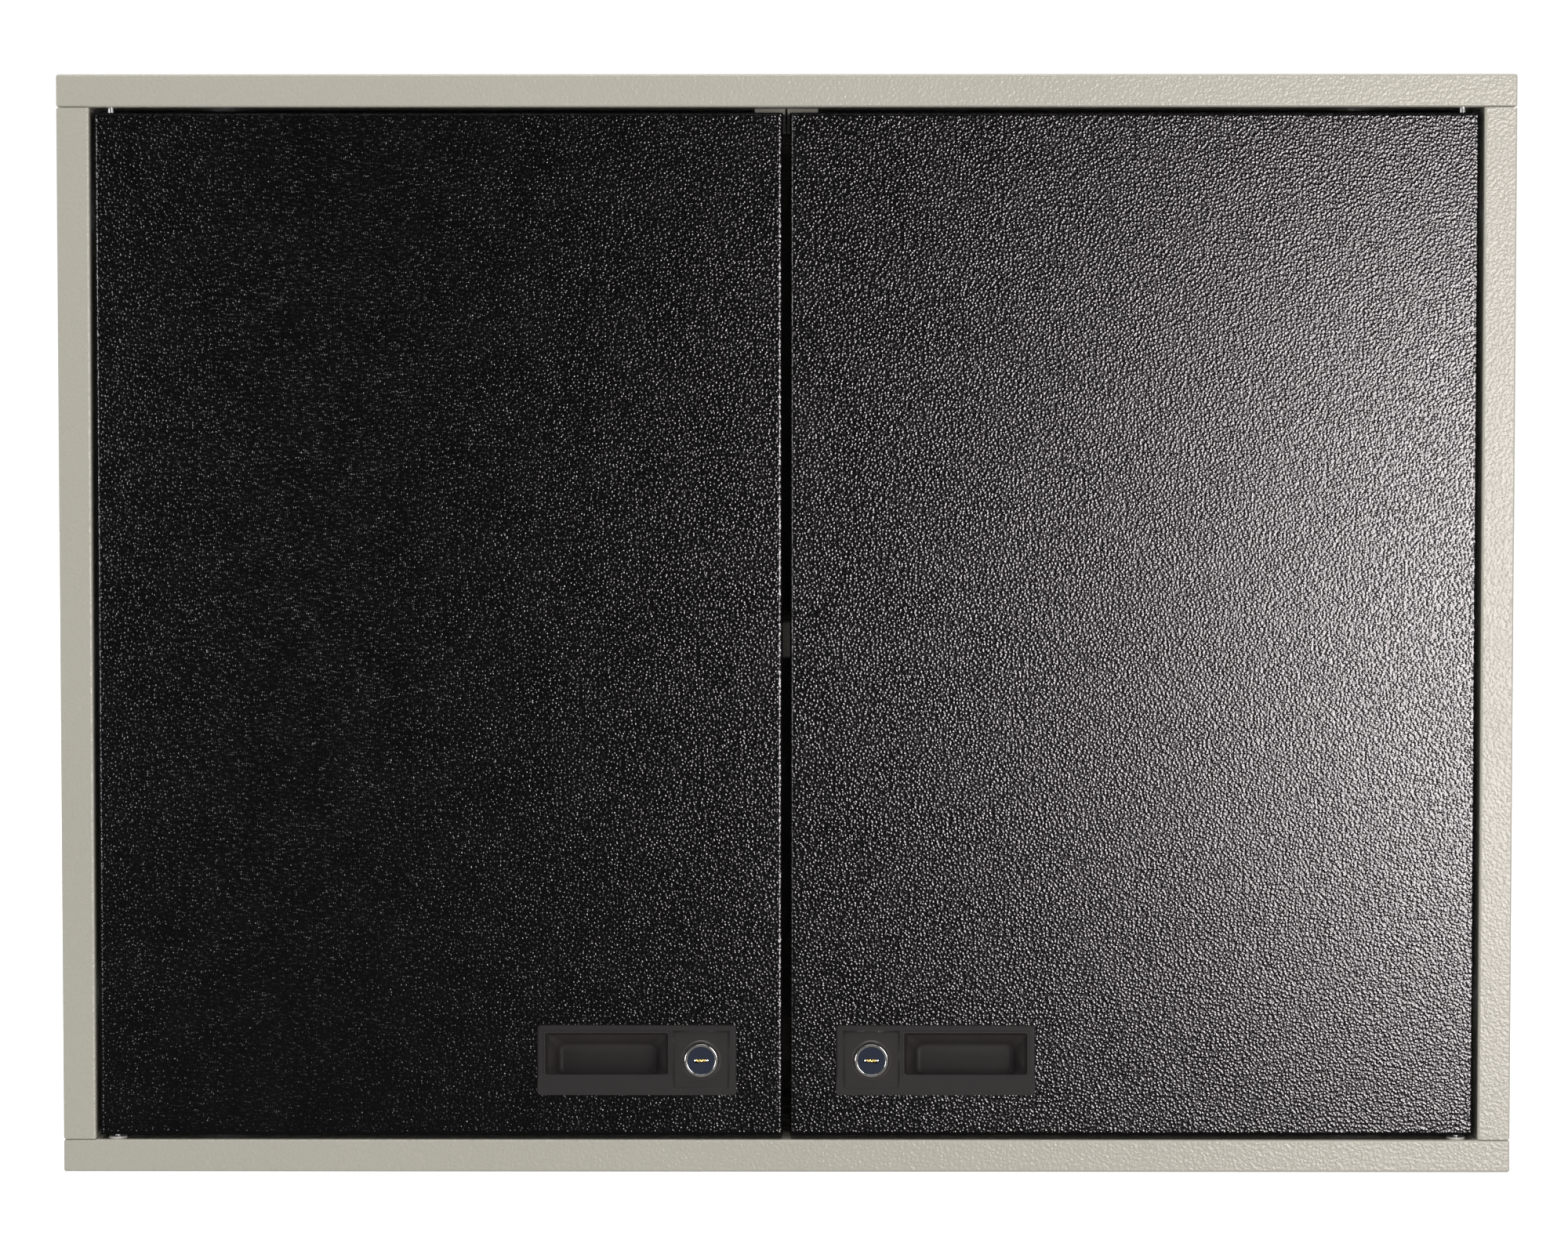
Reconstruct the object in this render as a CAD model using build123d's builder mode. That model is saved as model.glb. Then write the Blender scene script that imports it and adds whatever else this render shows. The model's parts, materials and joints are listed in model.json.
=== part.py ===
"""Hanging wall cabinet of folded sheet with two pivot-hung doors, one shelf and two cam locks.

Millimetres. X runs to the right, Y runs from the front to the wall, Z is up. The origin lies on the wall
face, at the middle of the four wall holes. Pieces that come in pairs are made for the right-hand side and
mirrored for the left.
"""

import os
from math import cos, pi, radians, sin, sqrt, tan

from build123d import *

# Carcass
overall_width = 800.0
overall_height = 605.0
overall_depth = 300.0
sheet = 1.0
bend_radius = 1.4
rail_face = 18.0
front_return = 30.0
side_return = 20.0
rear_return = 12.0
seam = 0.3

# Wall holes in the back panel
wall_hole_diameter = 9.0
wall_hole_from_side = 50.0
wall_hole_from_top = 60.0

# Screws that join the trays to the side panels
screw_diameter = 6.0
screw_hole_clearance = 0.25
screw_across_flats = 10.0
screw_head_height = 4.0
screw_nut_height = 5.0
screw_end_spare = 1.0
screw_from_side = 9.0
thread_clearance = 0.05

# Shelf, its uprights and clips
shelf_level = 0.0
shelf_fold = 20.0
shelf_lip = 14.0
shelf_side_clearance = 3.0
shelf_from_front = 48.0
shelf_from_back = 4.0
upright_width = 30.0
upright_end_gap = 2.0
upright_from_front = 75.0
upright_from_back = 45.0
slot_pitch = 50.0
slot_height = 15.0
slot_end_margin = 20.0
clip_sheet = 1.5
clip_width = 12.0
clip_clearance = 0.3
clip_ledge = 13.0
clip_leg = 24.0
clip_tongue_drop = 6.0
clip_hook = 9.0

# Doors
door_thickness = 16.0
door_sheet = 1.0
door_bend = 2.0
door_lip = 12.0
side_gap = 2.5
centre_gap = 4.0
top_gap = 3.0
bottom_gap = 2.5
stiffener_width = 64.0
stiffener_crown = 28.0
stiffener_foot = 12.0
stiffener_depth = 12.0
stiffener_end_gap = 32.0

# Door pivots
pivot_from_edge = 8.5
pivot_from_front = 7.5
pin_diameter = 4.0
pin_clearance = 0.05
pin_wall_clearance = 0.3
pin_engagement = 6.0
pin_tip_chamfer = 0.8
pin_collar_diameter = 7.0
pin_collar_height = 2.0
pin_stop_gap = 0.3
pin_lug_length = 16.0
pin_lug_bend = 5.0
bracket_sheet = 1.5
bracket_bend = 2.5
bracket_ear = 14.0
bracket_from_end = 5.0
upper_bracket_height = 26.0
lower_bracket_height = 20.0
bush_wall = 1.5
bush_flange = 1.5
bush_flange_thickness = 1.0
bush_closed_end = 1.2
bush_fit = 0.05
bush_floor_clearance = 0.1

# Spring of the upper pin
spring_wire = 0.8
spring_clearance = 0.5
spring_turns = 4
spring_end_gap = 0.2

# Door catches
catch_width = 16.8
catch_slit = 1.2
catch_height = 14.0
catch_door_gap = 0.3
catch_from_return_edge = 1.0
catch_edge = 0.8
magnet_width = 11.0
magnet_height = 7.0
magnet_depth = 4.0
magnet_clearance = 0.1
magnet_from_bottom = 2.0
catch_screw_diameter = 3.0
catch_screw_head_diameter = 5.6
catch_screw_head_angle = 90.0
catch_screw_from_back = 3.8

# Moulded handle
handle_length = 110.0
handle_height = 39.0
handle_from_edge = 25.5
handle_from_bottom = 22.5
handle_face = 2.2
handle_edge = 1.3
handle_low_edge = 0.8
handle_corner = 2.0
handle_overlap = 2.5
handle_wall = 1.5
handle_plate_back = 2.0
handle_skirt = 9.0
handle_hole_clearance = 0.3
handle_hole_corner = 2.0
recess_from_end = 4.6
recess_from_lock = 18.4
recess_from_top = 4.4
recess_from_bottom = 11.9
recess_depth = 15.0
recess_end_slope = 7.0
recess_top_slope = 8.0
recess_undercut = 3.5
recess_mouth_radius = 1.2
recess_back_radius = 5.0
recess_floor_radius = 3.5
recess_lip_radius = 0.6
recess_rib = 1.3
recess_rib_height = 0.5
recess_rib_draft = 30.0
lock_pad_length = 29.0
lock_pad_margin = 4.25
lock_pad_thickness = 0.8
lock_pad_draft = 45.0
lock_from_end = 19.5
snap_length = 9.0
snap_height = 1.2
snap_run = 4.0
snap_gap = 0.2
snap_from_end = 20.0

# Cam lock
collar_base_diameter = 22.0
collar_rim = 1.45
collar_height = 3.0
collar_edge = 0.6
barrel_diameter = 16.0
barrel_flats = 14.0
barrel_clearance = 0.1
barrel_end_gap = 1.0
plug_head_diameter = 15.0
plug_head_thickness = 1.9
plug_diameter = 12.0
plug_clearance = 0.05
plug_sunk = 0.4
plug_end_gap = 0.1
plug_tail = 7.0
keyway_length = 8.6
keyway_width = 1.8
keyway_step = 0.8
keyway_depth = 12.0
lock_nut_across_flats = 22.0
lock_nut_height = 5.0
cam_thickness = 2.0
cam_root_diameter = 18.0
cam_tip_diameter = 14.0
cam_reach = 7.0
cam_clearance = 1.5
cam_hole_clearance = 0.1
cam_screw_diameter = 5.0
cam_screw_length = 10.0
cam_screw_washer_diameter = 12.0
cam_screw_washer_height = 0.8
cam_screw_head_across_flats = 8.0
cam_screw_head_height = 2.9

# Places that follow from these sizes
half_width = overall_width / 2
half_height = overall_height / 2
front = -overall_depth
back_front = -sheet
tray_depth = overall_depth - sheet
tray_middle = (front + back_front) / 2
opening_half = half_width - rail_face
rail_inner = half_height - rail_face
side_half = rail_inner - seam
side_inner = half_width - sheet

door_top = rail_inner - top_gap
door_bottom = bottom_gap - rail_inner
door_inner_edge = centre_gap / 2
door_outer_edge = opening_half - side_gap
door_width = door_outer_edge - door_inner_edge
door_height = door_top - door_bottom
door_back = front + door_thickness

pivot_x = door_outer_edge - pivot_from_edge
pivot_y = front + pivot_from_front
pin_radius = pin_diameter / 2
pin_hole_radius = pin_radius + pin_clearance
bush_radius = pin_hole_radius + bush_wall
bush_flange_radius = bush_radius + bush_flange

handle_start = door_inner_edge + handle_from_edge
handle_end = handle_start + handle_length
handle_middle_x = (handle_start + handle_end) / 2
handle_middle_z = door_bottom + handle_from_bottom + handle_height / 2
lock_x = handle_start + lock_from_end
lock_z = handle_middle_z
pad_front = front - lock_pad_thickness
plate_back = front + handle_plate_back
cam_front = front + front_return + cam_clearance
cam_back = cam_front + cam_thickness
cam_length = lock_z + rail_inner + cam_reach


def front_plane(depth):
    """A plane parallel to the front, seen from the front, at this Y."""
    return Plane.XZ.offset(-depth)


def folded_shell(builder, wall, radius, seams):
    """Turn the open part's block into a closed shell of sheet, round at its bends and sharp at its welded seams."""
    fillet(builder.edges() - seams, radius=radius)
    offset(amount=-wall, mode=Mode.SUBTRACT)


def keep(builder, name):
    """Label one finished piece and write it."""
    builder.part.label = name
    export_step(builder.part, f"parts/{name}.step")


def keep_pair(right, name):
    """Write a right-hand piece and its mirror image on the left."""
    keep(right, f"right_{name}")
    with BuildPart() as left:
        mirror(right.part, about=Plane.YZ)
    keep(left, f"left_{name}")


def biarc(start, end, start_tangent, end_tangent):
    """Two tangent arcs between two points, added to the open line."""
    span = end - start
    tangents = start_tangent + end_tangent
    spread = 2 * (1 - start_tangent.dot(end_tangent))
    along = span.dot(tangents)
    reach = (sqrt(along**2 + spread * span.dot(span)) - along) / spread
    first_corner = start + start_tangent * reach
    last_corner = end - end_tangent * reach
    joint = (first_corner + last_corner) * 0.5
    TangentArc(start, joint, tangent=start_tangent)
    TangentArc(joint, end, tangent=(last_corner - first_corner).normalized())


os.makedirs("parts", exist_ok=True)

# Screw places on the right-hand side, in plan, midway between the folds and the uprights
screw_from_front = (front_return + upright_from_front - upright_width / 2) / 2
screw_from_back = (2 * sheet + upright_from_back - upright_width / 2) / 2
screw_x = half_width - screw_from_side
screw_places = [(screw_x, front + screw_from_front), (screw_x, -screw_from_back)]
screw_hole_radius = screw_diameter / 2 + screw_hole_clearance

# Catch screw places in plan, one for each catch
catch_middle_x = (catch_slit + catch_width) / 2
catch_front = door_back + catch_door_gap
catch_back = front + front_return - catch_from_return_edge
catch_screw_y = catch_back - catch_screw_from_back
catch_screw_radius = catch_screw_diameter / 2
catch_screw_head_radius = catch_screw_head_diameter / 2

# Trays: closed on top and all round, with returns folded in along the open side
window_length = overall_width - 2 * side_return
window_front = front + front_return
window_back = back_front - rear_return
screw_places_all = screw_places + [(-x, y) for x, y in screw_places]

with BuildPart() as top_tray:
    with Locations((0, tray_middle, rail_inner + rail_face / 2)):
        Box(overall_width, tray_depth, rail_face)
    rear_corners = top_tray.edges().filter_by(Axis.Z).group_by(Axis.Y)[-1]
    folded_shell(top_tray, sheet, bend_radius, rear_corners)
    with BuildSketch(Plane.XY.offset(rail_inner)):
        with Locations((0, (window_front + window_back) / 2)):
            Rectangle(window_length, window_back - window_front)
        with Locations(*screw_places_all):
            Circle(screw_hole_radius)
        with Locations((pivot_x, pivot_y), (-pivot_x, pivot_y)):
            Circle(bush_radius + bush_fit)
        with Locations((catch_middle_x, catch_screw_y), (-catch_middle_x, catch_screw_y)):
            Circle(catch_screw_radius + thread_clearance)
    extrude(amount=sheet, mode=Mode.SUBTRACT)
keep(top_tray, "top_tray")

with BuildPart() as bottom_tray:
    with Locations((0, tray_middle, -rail_inner - rail_face / 2)):
        Box(overall_width, tray_depth, rail_face)
    rear_corners = bottom_tray.edges().filter_by(Axis.Z).group_by(Axis.Y)[-1]
    folded_shell(bottom_tray, sheet, bend_radius, rear_corners)
    with BuildSketch(Plane.XY.offset(-rail_inner)):
        with Locations((0, (window_front + window_back) / 2)):
            Rectangle(window_length, window_back - window_front)
        with Locations(*screw_places_all):
            Circle(screw_hole_radius)
        with Locations((pivot_x, pivot_y), (-pivot_x, pivot_y)):
            Circle(bush_radius + bush_fit)
    extrude(amount=-sheet, mode=Mode.SUBTRACT)
keep(bottom_tray, "bottom_tray")

# Side panel: flanges on all four edges and a return behind the front face
with BuildPart() as side_panel:
    with Locations(((half_width + opening_half) / 2, tray_middle, 0)):
        Box(rail_face, tray_depth, 2 * side_half)
    outer_edges = side_panel.edges().group_by(Axis.X)[-1]
    front_inner_edge = side_panel.edges().filter_by(Axis.Z).group_by(Axis.X)[0].sort_by(Axis.Y)[0]
    fillet(outer_edges + [front_inner_edge], radius=bend_radius)
    offset(amount=-sheet, mode=Mode.SUBTRACT)
    with BuildSketch(Plane.YZ.offset(opening_half)):
        with Locations(((window_front + back_front - sheet) / 2, 0)):
            Rectangle(back_front - sheet - window_front, 2 * (side_half - sheet))
    extrude(amount=sheet, mode=Mode.SUBTRACT)
    with BuildSketch(Plane.XY.offset(-side_half)):
        with Locations(*screw_places):
            Circle(screw_hole_radius)
    extrude(amount=2 * side_half, mode=Mode.SUBTRACT)
keep_pair(side_panel, "side_panel")

# Back panel with the four wall holes
with BuildPart() as back_panel:
    with BuildSketch(Plane.XZ):
        Rectangle(overall_width - 2 * bend_radius, overall_height - 2 * bend_radius)
        with GridLocations(
            overall_width - 2 * wall_hole_from_side,
            overall_height - 2 * wall_hole_from_top,
            2,
            2,
        ):
            Circle(wall_hole_diameter / 2, mode=Mode.SUBTRACT)
    extrude(amount=sheet)
keep(back_panel, "back_panel")

# Screws and nuts between trays and side panels
flange_face = side_half - sheet
nut_seat = rail_inner + sheet
screw_end = nut_seat + screw_nut_height + screw_end_spare

with BuildPart() as corner_screws:
    with BuildSketch(Plane.XY.offset(flange_face)):
        with Locations(*screw_places):
            RegularPolygon(screw_across_flats / 2, 6, major_radius=False)
    extrude(amount=-screw_head_height)
    with BuildSketch(Plane.XY.offset(flange_face)):
        with Locations(*screw_places):
            Circle(screw_diameter / 2)
    extrude(amount=screw_end - flange_face)
    mirror(about=Plane.YZ)
    mirror(about=Plane.XY)
keep(corner_screws, "corner_screws")

with BuildPart() as corner_nuts:
    with BuildSketch(Plane.XY.offset(nut_seat)):
        with Locations(*screw_places):
            RegularPolygon(screw_across_flats / 2, 6, major_radius=False)
            Circle(screw_diameter / 2 + thread_clearance, mode=Mode.SUBTRACT)
    extrude(amount=screw_nut_height)
    mirror(about=Plane.YZ)
    mirror(about=Plane.XY)
keep(corner_nuts, "corner_nuts")

# Slotted uprights: channels on the side panels, with a row of slots for the shelf clips
upright_depth = side_inner - opening_half
upright_half = side_half - sheet - upright_end_gap
upright_places = [front + upright_from_front, -upright_from_back]
shelf_underside = shelf_level - shelf_fold
slot_middle = shelf_underside - clip_tongue_drop - (clip_sheet + clip_hook) / 2
slots_up = int((upright_half - slot_end_margin - slot_middle) // slot_pitch)
slots_down = int((upright_half - slot_end_margin + slot_middle) // slot_pitch)

with BuildPart() as shelf_uprights:
    with BuildSketch(Plane.XY.offset(-upright_half)):
        with Locations(*[((opening_half + side_inner) / 2, y) for y in upright_places]):
            Rectangle(upright_depth, upright_width)
        with Locations(*[((opening_half + sheet + side_inner) / 2, y) for y in upright_places]):
            Rectangle(upright_depth - sheet, upright_width - 2 * sheet, mode=Mode.SUBTRACT)
    extrude(amount=2 * upright_half)
    with BuildSketch(Plane.YZ.offset(opening_half)):
        for step in range(-slots_down, slots_up + 1):
            with Locations(*[(y, slot_middle + step * slot_pitch) for y in upright_places]):
                Rectangle(clip_width + 2 * clip_clearance, slot_height)
    extrude(amount=sheet, mode=Mode.SUBTRACT)
    mirror(about=Plane.YZ)
keep(shelf_uprights, "shelf_uprights")

# Shelf clips: a ledge, a leg on the upright's face and a hook behind it
hook_inner = opening_half + sheet + clip_clearance
tongue_top = shelf_underside - clip_tongue_drop

with BuildPart() as shelf_clips:
    for y in upright_places:
        with BuildSketch(front_plane(y + clip_width / 2)):
            with Locations((opening_half - clip_ledge, shelf_underside)):
                Rectangle(clip_ledge, clip_sheet, align=(Align.MIN, Align.MAX))
            with Locations((opening_half, shelf_underside)):
                Rectangle(clip_sheet, clip_leg, align=(Align.MAX, Align.MAX))
            with Locations((opening_half - clip_sheet, tongue_top)):
                Rectangle(hook_inner - opening_half + 2 * clip_sheet, clip_sheet, align=(Align.MIN, Align.MAX))
            with Locations((hook_inner, tongue_top)):
                Rectangle(clip_sheet, clip_hook + clip_sheet, align=(Align.MIN, Align.MAX))
        extrude(amount=clip_width)
    mirror(about=Plane.YZ)
keep(shelf_clips, "shelf_clips")

# Shelf: a pan with its edges folded down and in
shelf_front = front + shelf_from_front
shelf_back = -shelf_from_back
shelf_width = 2 * (opening_half - shelf_side_clearance)
shelf_depth = shelf_back - shelf_front

with BuildPart() as shelf:
    with Locations((0, (shelf_front + shelf_back) / 2, shelf_level - shelf_fold / 2)):
        Box(shelf_width, shelf_depth, shelf_fold)
    folded_shell(shelf, sheet, bend_radius, shelf.edges().filter_by(Axis.Z))
    with BuildSketch(Plane.XY.offset(shelf_underside)):
        with Locations((0, (shelf_front + shelf_back) / 2)):
            Rectangle(shelf_width - 2 * shelf_lip, shelf_depth - 2 * shelf_lip)
    extrude(amount=sheet, mode=Mode.SUBTRACT)
keep(shelf, "shelf")

# Pivot bushes: open sleeves in the top tray, closed cups that carry the doors in the bottom tray
with BuildPart() as upper_pivot_bushes:
    with BuildSketch(Plane.XY.offset(rail_inner)):
        with Locations((pivot_x, pivot_y), (-pivot_x, pivot_y)):
            Circle(bush_radius)
    extrude(amount=sheet + bush_flange_thickness + pin_engagement)
    with BuildSketch(Plane.XY.offset(rail_inner + sheet)):
        with Locations((pivot_x, pivot_y), (-pivot_x, pivot_y)):
            Circle(bush_flange_radius)
    extrude(amount=bush_flange_thickness)
    with BuildSketch(Plane.XY.offset(rail_inner)):
        with Locations((pivot_x, pivot_y), (-pivot_x, pivot_y)):
            Circle(pin_hole_radius)
    extrude(amount=sheet + bush_flange_thickness + pin_engagement, mode=Mode.SUBTRACT)
keep(upper_pivot_bushes, "upper_pivot_bushes")

bush_floor = -rail_inner - pin_engagement - bush_floor_clearance

with BuildPart() as lower_pivot_bushes:
    with BuildSketch(Plane.XY.offset(bush_floor - bush_closed_end)):
        with Locations((pivot_x, pivot_y), (-pivot_x, pivot_y)):
            Circle(bush_radius)
    extrude(amount=-rail_inner - bush_floor + bush_closed_end)
    with BuildSketch(Plane.XY.offset(-rail_inner)):
        with Locations((pivot_x, pivot_y), (-pivot_x, pivot_y)):
            Circle(bush_flange_radius)
    extrude(amount=bush_flange_thickness)
    with BuildSketch(Plane.XY.offset(bush_floor)):
        with Locations((pivot_x, pivot_y), (-pivot_x, pivot_y)):
            Circle(pin_hole_radius)
    extrude(amount=bush_flange_thickness - rail_inner - bush_floor, mode=Mode.SUBTRACT)
keep(lower_pivot_bushes, "lower_pivot_bushes")

# Catch: a moulded block under the top tray's return, with a magnet that meets the door's folded edge
catch_bottom = rail_inner - catch_height
magnet_middle_z = catch_bottom + magnet_from_bottom + magnet_height / 2

with BuildPart() as catch_body:
    with Locations((catch_middle_x, (catch_front + catch_back) / 2, rail_inner - catch_height / 2)):
        Box(catch_width, catch_back - catch_front, catch_height)
    fillet(catch_body.edges().group_by(Axis.Z)[0], radius=catch_edge)
    with BuildSketch(front_plane(catch_front)):
        with Locations((catch_middle_x, magnet_middle_z)):
            Rectangle(magnet_width + 2 * magnet_clearance, magnet_height + 2 * magnet_clearance)
    extrude(amount=-magnet_depth, mode=Mode.SUBTRACT)
    with Locations(Plane((catch_middle_x, catch_screw_y, catch_bottom), z_dir=(0, 0, -1))):
        CounterSinkHole(
            catch_screw_radius + thread_clearance,
            catch_screw_head_radius + thread_clearance,
            counter_sink_angle=catch_screw_head_angle,
        )
keep_pair(catch_body, "catch_body")

with BuildPart() as catch_magnet:
    with BuildSketch(front_plane(catch_front)):
        with Locations((catch_middle_x, magnet_middle_z)):
            Rectangle(magnet_width, magnet_height)
    extrude(amount=-magnet_depth)
keep_pair(catch_magnet, "catch_magnet")

catch_screw_head_height = (catch_screw_head_radius - catch_screw_radius) / tan(radians(catch_screw_head_angle / 2))

with BuildPart() as catch_screws:
    with BuildSketch(Plane((catch_middle_x, catch_screw_y, catch_bottom), x_dir=(1, 0, 0), z_dir=(0, -1, 0))):
        with BuildLine():
            Polyline(
                (0, 0),
                (catch_screw_head_radius, 0),
                (catch_screw_radius, catch_screw_head_height),
                (catch_screw_radius, catch_height + sheet),
                (0, catch_height + sheet + catch_screw_radius),
                close=True,
            )
        make_face()
    revolve(axis=Axis((catch_middle_x, catch_screw_y, 0), (0, 0, 1)))
    mirror(about=Plane.YZ)
keep(catch_screws, "catch_screws")

# Door skin: a pan with its edges folded back and in, the handle's hole and the pins' holes
door_middle_x = (door_inner_edge + door_outer_edge) / 2
door_middle_z = (door_top + door_bottom) / 2
handle_hole_length = handle_length - 2 * handle_overlap
handle_hole_height = handle_height - 2 * handle_overlap

with BuildPart() as door_skin:
    with Locations((door_middle_x, (front + door_back) / 2, door_middle_z)):
        Box(door_width, door_thickness, door_height)
    folded_shell(door_skin, door_sheet, door_bend, door_skin.edges().filter_by(Axis.Y))
    with BuildSketch(front_plane(door_back)):
        with Locations((door_middle_x, door_middle_z)):
            Rectangle(door_width - 2 * door_lip, door_height - 2 * door_lip)
    extrude(amount=door_sheet, mode=Mode.SUBTRACT)
    with BuildSketch(front_plane(front)):
        with Locations((handle_middle_x, handle_middle_z)):
            RectangleRounded(handle_hole_length, handle_hole_height, handle_hole_corner)
    extrude(amount=-door_sheet, mode=Mode.SUBTRACT)
    with BuildSketch(Plane.XY.offset(door_bottom)):
        with Locations((pivot_x, pivot_y)):
            Circle(pin_radius + pin_wall_clearance)
    extrude(amount=door_height, mode=Mode.SUBTRACT)
keep_pair(door_skin, "door_skin")

# Hat-section stiffener welded down the middle of the door
stiffener_front = front + door_sheet

with BuildPart() as door_stiffener:
    with BuildSketch(Plane.XY.offset(door_bottom + stiffener_end_gap)):
        with BuildLine(Plane((door_middle_x, stiffener_front, 0))) as hat:
            Polyline(
                (-stiffener_width / 2, 0),
                (stiffener_foot - stiffener_width / 2, 0),
                (-stiffener_crown / 2, stiffener_depth - door_sheet),
                (stiffener_crown / 2, stiffener_depth - door_sheet),
                (stiffener_width / 2 - stiffener_foot, 0),
                (stiffener_width / 2, 0),
            )
            offset(amount=door_sheet, side=Side.LEFT)
        make_face()
    extrude(amount=door_height - 2 * stiffener_end_gap)
keep_pair(door_stiffener, "door_stiffener")

# Pin brackets: bent straps welded to the inside of the door's hinge edge
bracket_back_x = door_outer_edge - door_sheet
bracket_width = 2 * (pivot_from_front - door_bend)


def pin_bracket(low, high):
    """A bent strap with two ears, both bored for the pin, in the open part."""
    with BuildSketch(front_plane(pivot_y + bracket_width / 2)) as strap:
        with Locations((bracket_back_x, (low + high) / 2)):
            Rectangle(bracket_ear, high - low, align=(Align.MAX, Align.CENTER))
        fillet(strap.vertices().group_by(Axis.X)[-1], radius=bracket_bend)
        with Locations((bracket_back_x - bracket_sheet, (low + high) / 2)):
            Rectangle(
                bracket_ear,
                high - low - 2 * bracket_sheet,
                align=(Align.MAX, Align.CENTER),
                mode=Mode.SUBTRACT,
            )
    extrude(strap.sketch, amount=bracket_width)
    with BuildSketch(Plane.XY.offset(low)) as bore:
        with Locations((pivot_x, pivot_y)):
            Circle(pin_hole_radius)
    extrude(bore.sketch, amount=high - low, mode=Mode.SUBTRACT)


upper_bracket_high = door_top - bracket_from_end
upper_bracket_low = upper_bracket_high - upper_bracket_height
lower_bracket_low = door_bottom + bracket_from_end
lower_bracket_high = lower_bracket_low + lower_bracket_height

with BuildPart() as upper_pin_bracket:
    pin_bracket(upper_bracket_low, upper_bracket_high)
keep_pair(upper_pin_bracket, "upper_pin_bracket")

with BuildPart() as lower_pin_bracket:
    pin_bracket(lower_bracket_low, lower_bracket_high)
keep_pair(lower_pin_bracket, "lower_pin_bracket")

# Upper pin: sprung, with a collar for the spring and a bent lug to draw it down by
upper_pin_tip = rail_inner + pin_engagement
collar_top = upper_bracket_high - bracket_sheet - pin_stop_gap
collar_bottom = collar_top - pin_collar_height
lug_level = upper_bracket_low - pin_stop_gap - pin_lug_bend - pin_radius

with BuildPart() as upper_pivot_pin:
    with BuildLine(Plane.XZ.offset(-pivot_y)) as pin_route:
        FilletPolyline(
            (pivot_x, upper_pin_tip),
            (pivot_x, lug_level),
            (pivot_x - pin_lug_length, lug_level),
            radius=pin_lug_bend,
        )
    with BuildSketch(Plane((pivot_x, pivot_y, upper_pin_tip))):
        Circle(pin_radius)
    sweep(path=pin_route.wires()[0])
    chamfer(upper_pivot_pin.edges().group_by(Axis.Z)[-1], length=pin_tip_chamfer)
    with BuildSketch(Plane.XY.offset(collar_bottom)):
        with Locations((pivot_x, pivot_y)):
            Circle(pin_collar_diameter / 2)
    extrude(amount=pin_collar_height)
keep_pair(upper_pivot_pin, "upper_pivot_pin")

# Lower pin: fixed in its bracket, with a collar under the upper ear that carries the door
lower_pin_tip = -rail_inner - pin_engagement
lower_collar_top = lower_bracket_high - bracket_sheet

with BuildPart() as lower_pivot_pin:
    with BuildSketch(Plane.XY.offset(lower_pin_tip)):
        with Locations((pivot_x, pivot_y)):
            Circle(pin_radius)
    extrude(amount=lower_bracket_high + pin_radius - lower_pin_tip)
    chamfer(lower_pivot_pin.edges().group_by(Axis.Z)[0], length=pin_tip_chamfer)
    with BuildSketch(Plane.XY.offset(lower_collar_top - pin_collar_height)):
        with Locations((pivot_x, pivot_y)):
            Circle(pin_collar_diameter / 2)
    extrude(amount=pin_collar_height)
keep_pair(lower_pivot_pin, "lower_pivot_pin")

# Spring round the upper pin, between the lower ear and the collar, as one wound wire
spring_radius = pin_radius + spring_clearance + spring_wire / 2
spring_low = upper_bracket_low + bracket_sheet + spring_end_gap + spring_wire / 2
spring_high = collar_bottom - spring_end_gap - spring_wire / 2
spring_pitch = (spring_high - spring_low) / spring_turns
quarter_turns = 4 * spring_turns
spring_axis = Vector(pivot_x, pivot_y, 0)


def spring_point(turn):
    """A point on the wire's middle line, this many turns from its lower end."""
    angle = 2 * pi * turn
    around = Vector(spring_radius * cos(angle), spring_radius * sin(angle), spring_low + spring_pitch * turn)
    return spring_axis + around


def spring_tangent(turn):
    """The direction of the wire at that point."""
    angle = 2 * pi * turn
    rise = spring_pitch / (2 * pi)
    return Vector(-spring_radius * sin(angle), spring_radius * cos(angle), rise).normalized()


with BuildPart() as pin_spring:
    with BuildLine() as spring_route:
        for quarter in range(quarter_turns):
            biarc(
                spring_point(quarter / 4),
                spring_point((quarter + 1) / 4),
                spring_tangent(quarter / 4),
                spring_tangent((quarter + 1) / 4),
            )
    with BuildSketch(Plane(spring_point(0), z_dir=spring_tangent(0))):
        Circle(spring_wire / 2)
    sweep(path=spring_route.wires()[0])
keep_pair(pin_spring, "pin_spring")

# Least gap between neighbouring turns, measured on points along the wire
points_per_turn = 24
wire_points = [spring_point(step / points_per_turn) for step in range(points_per_turn * spring_turns + 1)]
least_gap = min(
    (later - earlier).length
    for place, earlier in enumerate(wire_points)
    for later in wire_points[place + points_per_turn // 2 :]
)
print(f"least gap between turns of the spring: {least_gap - spring_wire:.2f} mm")

# Handle: bezel with a sloped lower plate, ribbed finger recess, sunk lock pad, skirt and snap tabs
handle_top_z = handle_middle_z + handle_height / 2
handle_low_z = handle_middle_z - handle_height / 2
lip_z = handle_low_z + recess_from_bottom
recess_length = handle_length - lock_from_end - recess_from_lock - recess_from_end
recess_height = handle_height - recess_from_top - recess_from_bottom
recess_middle_x = handle_end - recess_from_end - recess_length / 2
recess_middle_z = handle_top_z - recess_from_top - recess_height / 2
recess_back_length = recess_length - 2 * recess_end_slope
recess_back_height = recess_height - recess_top_slope + recess_undercut
recess_back_middle_z = lip_z - recess_undercut + recess_back_height / 2
recess_front = front - handle_face
recess_back = recess_front + recess_depth
skirt_length = handle_hole_length - 2 * handle_hole_clearance
skirt_height = handle_hole_height - 2 * handle_hole_clearance
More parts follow.
